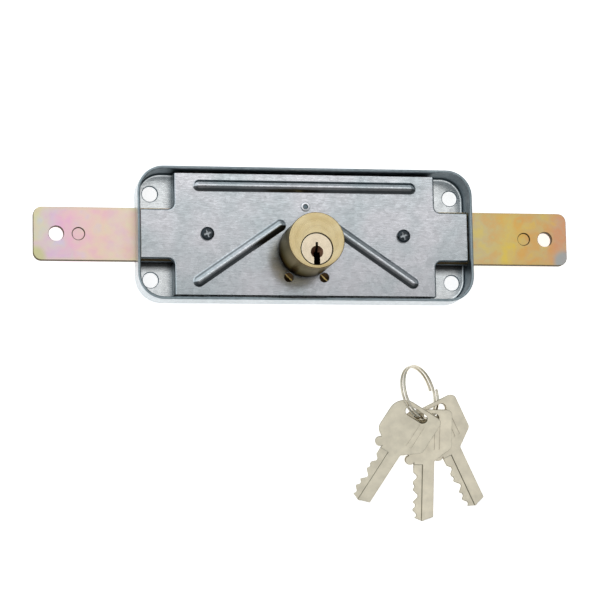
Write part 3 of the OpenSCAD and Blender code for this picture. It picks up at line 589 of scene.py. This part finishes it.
def rib(length, middle, heading):
    """One pressed rib: a long round-ended pad, raised in rings to a round crown with a soft foot."""
    begin()
    bpy.ops.mesh.primitive_plane_add(size=1)
    pad = bpy.context.object
    bpy.ops.object.mode_set(mode="EDIT")
    across = rib_width + 2 * rib_foot
    bpy.ops.transform.resize(value=(length + 2 * rib_foot, across, 1))
    bpy.ops.mesh.bevel(offset=across / 2 - 0.001, segments=10, affect="VERTICES")
    bpy.ops.mesh.select_all(action="SELECT")
    bpy.ops.mesh.remove_doubles(threshold=0.05)
    bpy.ops.mesh.extrude_region_move(TRANSFORM_OT_translate={"value": (0, 0, -0.6)})
    bpy.ops.mesh.select_all(action="SELECT")
    bpy.ops.mesh.normals_make_consistent(inside=False)
    choose("FACE", looks_up)
    crown = (rib_width**2 / 4 + rib_height**2) / (2 * rib_height)
    # Nine rings of even width, which leave a narrow flat along the crown.
    rings, rings_to_middle = 9, 9.4
    half, level = across / 2, 0.0
    for step in range(1, rings + 1):
        next_half = across / 2 * (1 - step / rings_to_middle)
        rise = math.sqrt(max(crown**2 - next_half**2, 0)) - crown + rib_height
        next_level = max(rise, 0.03 * step**2) if next_half > rib_width / 2 - rib_foot else rise
        bpy.ops.mesh.inset(thickness=half - next_half, depth=next_level - level)
        half, level = next_half, next_level
    begin()
    pad.location = (*middle, cover_face - 0.005)
    pad.rotation_euler = (0, 0, heading)
    return pad


for pad in (
    rib(top_rib_length, top_rib_place, 0),
    rib(slant_rib_length, (-slant_rib_x, slant_rib_y), slant),
    rib(slant_rib_length, (slant_rib_x, slant_rib_y), -slant),
):
    cut(cover, pad, "UNION")
for place in guide_screw_places:
    drill(cover, place, guide_hole_radius, 6, 14)
break_edges(cover, cover_edge_round)
smooth(cover)
settle(cover, "cover_plate", cover_zinc_and_rib_shade, "lock_case", "cover")
# The folded walls of the notches are painted dark as shade.
finish_faces(
    cover,
    wall_shade_zinc,
    lambda middle, normal: abs(normal.z) < 0.6
    and abs(middle.x) > notch_x - 0.3
    and abs(middle.y) > notch_y - 0.3,
)

# Rivet and guide screws: a bright semi-tubular rivet holds the backing plate to the cover, and two slotted
# screws with dished heads sit below the cover's face in their holes, their heads painted dark brown as the
# shade in the holes and the floors of their slots bright as a highlight.
rivet_place, rivet_radius, rivet_height, rivet_round = (0, 12), 2, 0.5, 0.28
guide_radius, guide_height, guide_level = 1.95, 0.8, 9.8
guide_slot_width, guide_slot_level = 0.55, 10.1
# Bright zinc plating, pale and glossy, and brass painted dark brown as the shade in the screw holes.
rivet_zinc = turned_metal("bright_zinc_rivet", "#E2E4E9", 0.2)
guide_brass_shade = turned_metal("brass_screw_painted_shade", "#453522", 0.35)
begin()
bpy.ops.mesh.primitive_cylinder_add(
    vertices=48, radius=rivet_radius, depth=rivet_height, location=(*rivet_place, cover_face + rivet_height / 2)
)
rivet = bpy.context.object
bpy.ops.object.transform_apply(location=True)
choose("FACE", looks_up)
bpy.ops.mesh.bevel(offset=rivet_round, segments=3, affect="EDGES")
choose("FACE", lambda middle, normal: normal.z > 0.99 and middle.z > cover_face + rivet_height - 0.01)
bpy.ops.mesh.inset(thickness=0.6)
bpy.ops.mesh.inset(thickness=0.18, depth=-0.16)
bpy.ops.mesh.inset(thickness=0.1, depth=-0.28)
smooth(rivet)
settle(rivet, "backing_rivet_head", rivet_zinc, "lock_case", "backing_rivet")
# The rivet's side and rounded rim and its cup are painted dark as shade.
finish_faces(rivet, wall_shade_zinc, lambda middle, normal: normal.z < 0.9 or middle.z < cover_face + 0.2)


def pair_of(piece, places):
    """Left and right copies of a modelled piece, each with its own mesh, which take its place."""
    pair = {"left": piece.copy(), "right": piece.copy()}
    for copied, place in zip(pair.values(), places):
        copied.data = piece.data.copy()
        bpy.context.scene.collection.objects.link(copied)
        copied.location = (*place, 0)
    bpy.data.objects.remove(piece)
    return pair.items()


begin()
bpy.ops.mesh.primitive_cylinder_add(
    vertices=48, radius=guide_radius, depth=guide_height, location=(0, 0, guide_level)
)
guide = bpy.context.object
bpy.ops.object.transform_apply(location=True)
choose("FACE", looks_up)
bpy.ops.mesh.inset(thickness=0.15)
bpy.ops.mesh.inset(thickness=1.3, depth=-0.5)
begin()
bpy.ops.mesh.primitive_cube_add(
    size=1, location=(0, 0, guide_slot_level), scale=(5, guide_slot_width, 1), rotation=(0, 0, -math.pi / 4)
)
cut(guide, bpy.context.object)
smooth(guide)
for side, head in pair_of(guide, guide_screw_places):
    settle(head, f"guide_screw_{side}", guide_brass_shade, "lock_case", "guide_screws")
    # The floors of the slots are painted bright brass as a highlight.
    finish_faces(head, turned_brass, lambda middle, normal: normal.z > 0.9 and middle.z < 9.65)

# Cylinder: a housing turned from free-cutting brass bar, with a bevelled front, and behind it the
# five drilled pin chambers, closed by driven brass plugs. The face is left plain.
housing_axis = (0, -6.2)
housing_radius, housing_front, housing_bevel = 11.65, 34.7, 0.4
plug_radius, plug_gap = 6.45, 0.05
mouth_gap, mouth_gap_depth, mouth_gap_bevel = 0.35, 0.9, 0.12
through_low, through_high = 8, 40
chamber_radius, chamber_reach = 1.4, 8
chamber_levels = [29.5 - 4 * i for i in range(5)]
# Heights between which the cylinder's side is painted darker towards the cover, as shade.
painted_shade_foot, painted_shade_top = 10.5, 26


# Free-cutting brass, faced in the lathe: pale yellow, satin, with fine rings round the turned axis.
def faced_brass():
    material, tree, shader, place = new_material("faced_brass")
    ring_pitch, cloud_size = 0.45, 7
    centred = add(tree, "Mapping", {"Vector": place, "Location": (0, -housing_axis[1] / 1000, 0)}).outputs[0]
    rings = add(
        tree,
        "TexWave",
        {"Vector": centred, "Scale": 1000 / ring_pitch / 20, "Distortion": 1.5, "Detail": 2, "Detail Scale": 3},
        wave_type="RINGS",
        rings_direction="Z",
    ).outputs["Fac"]
    cloud = add(tree, "TexNoise", {"Vector": place, "Scale": 1000 / cloud_size, "Detail": 3}).outputs["Fac"]
    tint = add(tree, "ValToRGB", {"Fac": cloud}, stops=[(0.32, "#D9C390"), (0.68, "#E7D6AA")]).outputs[0]
    tone = add(tree, "MapRange", {"Value": rings, "To Min": 0.95, "To Max": 1.04}).outputs[0]
    add(tree, "VectorMath", {0: tint, "Scale": tone}, to=shader.inputs["Base Color"], operation="SCALE")
    add(tree, "MapRange", {"Value": rings, "To Min": 0.24, "To Max": 0.34}, to=shader.inputs["Roughness"])
    add(tree, "Bump", {"Height": rings, "Strength": 0.05, "Distance": 0.0001}, to=shader.inputs["Normal"])
    shader.inputs["Metallic"].default_value = 1
    return material


housing_brass = faced_brass()
# Drawn skin of the bar, left on the outside: brass gone grey with a thin tarnish, smoother than the face, and
# darker towards the cover as painted shade, in its colour and in its grazing sheen.
tarnish_and_shade_brass = turned_metal("tarnished_drawn_brass_painted_shade", "#867963", 0.3)
tree = tarnish_and_shade_brass.node_tree
sockets = tree.nodes["Principled BSDF"].inputs
height = add(tree, "SeparateXYZ", {0: add(tree, "TexCoord").outputs["Object"]}).outputs["Z"]
start, end = painted_shade_foot / 1000, painted_shade_top / 1000
painted_shade_factor = add(
    tree, "MapRange", {"Value": height, "From Min": start, "From Max": end, "To Min": 0.22, "To Max": 1}
).outputs[0]
skin, edge_tint = sockets["Base Color"].links[0].from_socket, colour("#D8D2BD")[:3]
add(tree, "VectorMath", {0: skin, "Scale": painted_shade_factor}, to=sockets["Base Color"], operation="SCALE")
add(tree, "VectorMath", {0: edge_tint, "Scale": painted_shade_factor}, to=sockets["Specular Tint"], operation="SCALE")
# The turned edge of the face, where tarnish has crept in from the side: a thin dark brown line.
edge_brown = turned_metal("browned_turned_edge", "#6A4F2C", 0.35)
# Old grease and dirt in the gap round the plug and in the keyway: nearly black brown, half matt.
grease = turned_metal("dark_grease_on_brass", "#3A2A1F", 0.5)

begin()
bpy.ops.mesh.primitive_cylinder_add(
    vertices=128,
    radius=housing_radius,
    depth=housing_front - cover_face,
    location=(*housing_axis, (housing_front + cover_face) / 2),
)
housing = bpy.context.object
bpy.ops.object.transform_apply(location=True)
choose("FACE", looks_up)
bpy.ops.mesh.bevel(offset=housing_bevel, segments=3, affect="EDGES")
drill(housing, plug_axis, plug_radius + plug_gap, through_low, through_high)
drill(housing, plug_axis, plug_radius + mouth_gap, housing_front - mouth_gap_depth, through_high)
for level in chamber_levels:
    begin()
    bpy.ops.mesh.primitive_cylinder_add(
        vertices=32,
        radius=chamber_radius,
        depth=chamber_reach,
        location=(0, chamber_reach / 2, level),
        rotation=(math.pi / 2, 0, 0),
    )
    cut(housing, bpy.context.object)
choose(
    "EDGE",
    lambda middle, way: middle.z > housing_front - 0.01
    and abs(from_axis(middle, plug_axis) - plug_radius - mouth_gap) < 0.05,
)
bpy.ops.mesh.bevel(offset=mouth_gap_bevel, segments=2, affect="EDGES")
smooth(housing)
settle(housing, "cylinder_housing_body", housing_brass, "lock_case", "cylinder_housing")
finish_faces(
    housing,
    tarnish_and_shade_brass,
    lambda middle, normal: abs(normal.z) < 0.3 and from_axis(middle, housing_axis) > housing_radius - 0.1,
)
finish_faces(
    housing,
    edge_brown,
    lambda middle, normal: 0.15 < normal.z < 0.95 and from_axis(middle, housing_axis) > housing_radius - 0.5,
)
finish_faces(
    housing,
    grease,
    lambda middle, normal: middle.z < housing_front - 0.2 and from_axis(middle, plug_axis) < plug_radius + 0.4,
)
for node in ("chamber_caps", "driver_pins", "key_pins"):
    dress(node, turned_brass)
dress("pin_springs", turned_steel)

# Plug: nickel plated brass, turned to fit the housing, with a milled keyway of a narrow slot over a
# wide one and a round mouth round it that leads the key in.
plug_back, plug_front, plug_bevel = 7.9, 34.45, 0.2
mouth_place, mouth_radius, mouth_depth = (0, -11.1), 2.6, 2
keyway_low, keyway_deep = -17, 20
keyway_slots = [(1, -7.05), (2.6, -11)]
# Nickel plating, warm and bright, worn through at the mouth by the keys, and the mouth painted dark brown as
# the shade inside it.
plug_nickel = turned_metal("nickel_plated_plug", "#F8E8CC", 0.22)
mouth_wear_and_shade = turned_metal("worn_mouth_painted_shade", "#6B4C3B", 0.32)
begin()
bpy.ops.mesh.primitive_cylinder_add(
    vertices=96,
    radius=plug_radius,
    depth=plug_front - plug_back,
    location=(*plug_axis, (plug_front + plug_back) / 2),
)
plug = bpy.context.object
bpy.ops.object.transform_apply(location=True)
choose("FACE", looks_up)
bpy.ops.mesh.bevel(offset=plug_bevel, segments=2, affect="EDGES")
begin()
bpy.ops.mesh.primitive_cone_add(
    vertices=64,
    radius1=0,
    radius2=mouth_radius * 2,
    depth=mouth_depth * 2,
    location=(*mouth_place, plug_front),
)
cut(plug, bpy.context.object)
for width, high in keyway_slots:
    begin()
    bpy.ops.mesh.primitive_cube_add(
        size=1,
        location=(0, (keyway_low + high) / 2, plug_front - keyway_deep / 2 + 1),
        scale=(width, high - keyway_low, keyway_deep + 2),
    )
    cut(plug, bpy.context.object)
smooth(plug, 22)
settle(plug, "cylinder_plug_body", plug_nickel, "plug", "cylinder_plug")
finish_faces(
    plug,
    grease,
    lambda middle, normal: middle.z < plug_front - 3
    or abs(normal.z) < 0.3 and from_axis(middle, plug_axis) < plug_radius - 0.2,
)
finish_faces(
    plug,
    mouth_wear_and_shade,
    lambda middle, normal: 0.3 < normal.z < 0.95 and from_axis(middle, mouth_place) < mouth_radius,
)

# Cover screws: pan-head steel screws with a cross recess, zinc plated and black passivated, one at
# each side of the cover.
screw_radius, screw_height, screw_crown, screw_edge_round = 2.85, 1.9, 1.1, 0.1
recess_turns, recess_size = (20, 110), (3.4, 0.9, 2.4)
# A glossy black film; the floor of the recess is painted pale grey as a highlight.
black_zinc = turned_metal("black_passivated_zinc", "#3A4045", 0.2)
recess_highlight_zinc = turned_metal("recess_zinc_painted_highlight", "#AEB4B8", 0.25)
begin()
bpy.ops.mesh.primitive_cylinder_add(
    vertices=48, radius=screw_radius, depth=screw_height, location=(0, 0, cover_face + screw_height / 2)
)
screw = bpy.context.object
bpy.ops.object.transform_apply(location=True)
choose("FACE", looks_up)
bpy.ops.mesh.bevel(offset=screw_crown, segments=5, affect="EDGES")
for turn in recess_turns:
    begin()
    bpy.ops.mesh.primitive_cube_add(
        size=1,
        location=(0, 0, cover_face + screw_height),
        scale=recess_size,
        rotation=(0, 0, math.radians(turn)),
    )
    cut(screw, bpy.context.object)
break_edges(screw, screw_edge_round, 45)
smooth(screw)
for side, head in pair_of(screw, cover_screw_places):
    settle(head, f"cover_screw_{side}", black_zinc, "lock_case", "cover_screws")
    # The floor of the cross recess gets a painted highlight.
    finish_faces(
        head,
        recess_highlight_zinc,
        lambda middle, normal: normal.z > 0.9 and cover_face + 0.1 < middle.z < cover_face + 1,
    )

# Key ring: a split ring of nickel plated spring wire, wound twice round, leaning with its low side on
# the floor beside the lock.
wire_radius, coil_radius, coil_pitch = 0.55, 11.4, 1.55
ring_middle, ring_lean, ring_turn = (47, -66, 9.584), 44, 14
# Bright nickel, a little warm, polished by wear.
ring_nickel = turned_metal("nickel_plated_wire", "#D8D0BE", 0.2)
begin()
bpy.ops.mesh.primitive_circle_add(
    vertices=14, radius=wire_radius, location=(coil_radius, 0, 0), rotation=(math.pi / 2, 0, 0)
)
ring = bpy.context.object
bpy.ops.object.transform_apply(location=True, rotation=True)
apply_modifier(
    ring,
    "SCREW",
    axis="Z",
    screw_offset=coil_pitch,
    iterations=2,
    steps=72,
    render_steps=72,
    angle=2 * math.pi,
)
bpy.ops.object.mode_set(mode="EDIT")
bpy.ops.mesh.select_all(action="SELECT")
bpy.ops.mesh.normals_make_consistent(inside=False)
bpy.ops.mesh.select_mode(type="EDGE")
bpy.ops.mesh.select_all(action="DESELECT")
bpy.ops.mesh.select_non_manifold()
bpy.ops.mesh.edge_face_add()
begin()
ring.data.transform(Matrix.Translation((0, 0, -coil_pitch)))
ring.location = ring_middle
ring.rotation_euler = (0, math.radians(ring_lean), math.radians(ring_turn))
smooth(ring, 50)
settle(ring, "split_ring", ring_nickel, "ring", "key_ring")

# Keys: three alike, stamped and milled from nickel silver, with a round-cornered bow, a stop, two
# grooves along the bow and a stepped blade cut with five notches. They lie on each other in a fan.
key_foot = Vector((47, -66, 0))
key_lay = {
    "left": ((-2.27, -9.43, 13.08), 17.5, -32),
    "middle": ((2.9, -10.48, 8.58), 11.3, 0),
    "right": ((7.17, -7.37, 4.78), 6.3, 26),
}
key_edge_round = 0.22
groove_left, groove_right, groove_low, groove_high = 2.4, 5.8, -13.2, -2.3
bow_low, sliver_left, sliver_right, sliver_end = -11, 3.2, 5.75, 5.7
# Nickel silver, tumbled: a warm pale grey, satin.
key_silver = turned_metal("stamped_nickel_silver", "#E6DEC9", 0.36)
# The sheared edges keep their tool marks and a brown tarnish, and shine more than the tumbled faces; their
# brown is also painted shadow, the dark lines where the keys lie on each other.
key_edge_and_shadow = turned_metal("sheared_nickel_silver_edge_painted_shadow", "#85765A", 0.3)


def in_sliver(point):
    """True in the sliver that the CAD outline leaves open beside the lower corner of the bow."""
    return sliver_left < point.x < sliver_right + 0.2 and bow_low - 0.9 < point.y < bow_low + 0.01


def on_sliver_wall(middle, normal):
    """True for the upright walls round the sliver."""
    return in_sliver(middle) and abs(normal.z) < 0.5 and (abs(normal.x) < 0.9 or middle.x > sliver_end)


for name, (hole, slope, heading) in key_lay.items():
    key = copy_of(f"key_{name}", whole=False)
    turned = Matrix.Rotation(math.radians(heading), 4, "Z") @ Matrix.Rotation(math.radians(slope), 4, "X")
    lie = Matrix.Translation(key_foot + Vector(hole)) @ turned
    key.data.transform(lie.inverted())
    # The walls of the sliver go, and its rims meet.
    choose("FACE", on_sliver_wall)
    bpy.ops.mesh.delete(type="ONLY_FACE")
    bpy.ops.object.mode_set(mode="OBJECT")
    for vertex in key.data.vertices:
        if in_sliver(vertex.co):
            vertex.co.x, vertex.co.y = min(vertex.co.x, sliver_right), bow_low
    bpy.ops.object.mode_set(mode="EDIT")
    bpy.ops.mesh.select_all(action="SELECT")
    bpy.ops.mesh.remove_doubles(threshold=0.03)
    bpy.ops.mesh.delete_loose()
    # The outlines are rounded, and the grooves and upright corners stay sharp.
    bpy.ops.mesh.select_mode(type="EDGE")
    bpy.ops.mesh.select_all(action="DESELECT")
    bpy.ops.mesh.edges_select_sharp(sharpness=math.radians(30))
    bpy.ops.object.mode_set(mode="OBJECT")
    for edge in key.data.edges:
        start, end = (key.data.vertices[i].co for i in edge.vertices)
        middle, way = (start + end) / 2, (end - start).normalized()
        in_groove = groove_left < middle.x < groove_right and groove_low < middle.y < groove_high
        if in_groove or abs(way.z) > 0.3:
            edge.select = False
    bpy.ops.object.mode_set(mode="EDIT")
    bpy.ops.mesh.bevel(
        offset=key_edge_round, segments=2, affect="EDGES", loop_slide=False, clamp_overlap=False
    )
    begin(key)
    bpy.ops.object.shade_smooth_by_angle(angle=math.radians(50))
    for face in key.data.polygons:
        face.use_smooth = abs(face.normal.z) < 0.99
    key.data.transform(lie)
    # No point goes past the CAD key's own box.
    low, high = (Vector(corner) * 1000 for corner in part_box(f"key_{name}"))
    for vertex in key.data.vertices:
        vertex.co = Vector(map(min, map(max, vertex.co, low), high))
    settle(key, f"{name}_key_cut", key_silver, f"{name}_key", f"key_{name}")
    upright = turned.to_3x3() @ Vector((0, 0, 1))
    # The side walls are painted dark brown, partly as the shadow lines between the keys.
    finish_faces(key, key_edge_and_shadow, lambda middle, normal: abs(normal.dot(upright)) < 0.5)

# Studio: a plain white floor and two soft panels of light side by side overhead, the far one for the
# lock and the near one for the keys, in a dim room that is brightest at its far left.
paper_lift = 0.68
room_dim, room_bright, wall_light = 0.3, 1.1, 0.45
between_panels, far_panel, near_panel = 0.2, 1.46, 0.78
brightest_way = (-0.8, 0.6, 0)
panel_way = Vector((0.12, -0.1, 0.988)).normalized()
camera_place = (-0.20391, -0.19165, 1.10031)
camera_turn = Vector((-0.1484, 0.1806, 0.005))
scene = bpy.context.scene
begin()
bpy.ops.mesh.primitive_plane_add(size=6, location=(0, 0, -0.0002))
floor = bpy.context.object
floor.name = "floor"
# White paper, matt: it keeps the shadow, and is lifted to white for the camera and in reflections.
paper = bpy.data.materials.new("white_paper_floor")
paper.use_nodes = True
tree = paper.node_tree
shader = tree.nodes["Principled BSDF"]
shader.inputs["Base Color"].default_value = colour("#F4F4F4")
shader.inputs["Roughness"].default_value = 0.9
rays = add(tree, "LightPath").outputs
seen = add(
    tree, "Math", {0: rays["Is Camera Ray"], 1: rays["Is Glossy Ray"]}, operation="MAXIMUM"
).outputs[0]
seen = add(tree, "Math", {0: seen, 1: rays["Is Transmission Ray"]}, operation="MAXIMUM").outputs[0]
lift = add(tree, "Math", {0: seen, 1: paper_lift}, operation="MULTIPLY").outputs[0]
glow = add(tree, "Emission", {"Strength": lift}).outputs[0]
surface = tree.nodes["Material Output"].inputs["Surface"]
add(tree, "AddShader", {0: shader.outputs[0], 1: glow}, to=surface)
floor.data.materials.append(paper)

studio = bpy.data.worlds.new("soft_studio")
studio.use_nodes = True
scene.world = studio
tree = studio.node_tree
way = add(tree, "TexCoord").outputs["Generated"]
axes = add(tree, "SeparateXYZ", {0: way}).outputs
leftward = add(tree, "VectorMath", {0: way, 1: brightest_way}, operation="DOT_PRODUCT").outputs["Value"]
room = add(
    tree,
    "MapRange",
    {"Value": leftward, "From Min": 0, "From Max": 0.65, "To Min": room_dim, "To Max": room_bright},
    interpolation_type="SMOOTHSTEP",
).outputs[0]
wall_share = add(
    tree,
    "MapRange",
    {"Value": axes["Z"], "From Min": 0.5, "From Max": 0.25},
    interpolation_type="SMOOTHSTEP",
).outputs[0]
around = add(tree, "Mix", {0: wall_share, 2: room, 3: wall_light}, data_type="FLOAT").outputs[0]
overhead = add(tree, "VectorMath", {0: way, 1: panel_way}, operation="DOT_PRODUCT").outputs["Value"]
panel_share = add(
    tree,
    "MapRange",
    {"Value": overhead, "From Min": 0.788, "From Max": 0.899},
    interpolation_type="SMOOTHSTEP",
).outputs[0]
far_side = add(
    tree,
    "MapRange",
    {"Value": axes["Y"], "From Min": 0.13, "From Max": 0.21, "To Min": between_panels, "To Max": far_panel},
    interpolation_type="SMOOTHSTEP",
).outputs[0]
near_side = add(
    tree,
    "MapRange",
    {"Value": axes["Y"], "From Min": 0.08, "From Max": -0.04, "To Min": 0, "To Max": near_panel},
    interpolation_type="SMOOTHSTEP",
).outputs[0]
panels = add(tree, "Math", {0: far_side, 1: near_side}, operation="ADD").outputs[0]
level = add(tree, "Mix", {0: panel_share, 2: around, 3: panels}, data_type="FLOAT").outputs[0]
# The room is a little cooler than the panels.
tint = add(
    tree, "Mix", {0: panel_share, 6: (0.93, 1, 1.03, 1), 7: (1, 1, 1, 1)}, data_type="RGBA"
).outputs[2]
tree.links.new(tint, tree.nodes["Background"].inputs["Color"])
tree.links.new(level, tree.nodes["Background"].inputs["Strength"])

lens = bpy.data.cameras.new("camera")
camera = bpy.data.objects.new("camera", lens)
scene.collection.objects.link(camera)
lens.lens, lens.sensor_width = 161.6, 36
lens.clip_end = 20
aim = Matrix.Rotation(-camera_turn.length, 4, camera_turn)
camera.matrix_world = Matrix.Translation(camera_place) @ aim
scene.camera = camera
scene.view_settings.view_transform = "Standard"
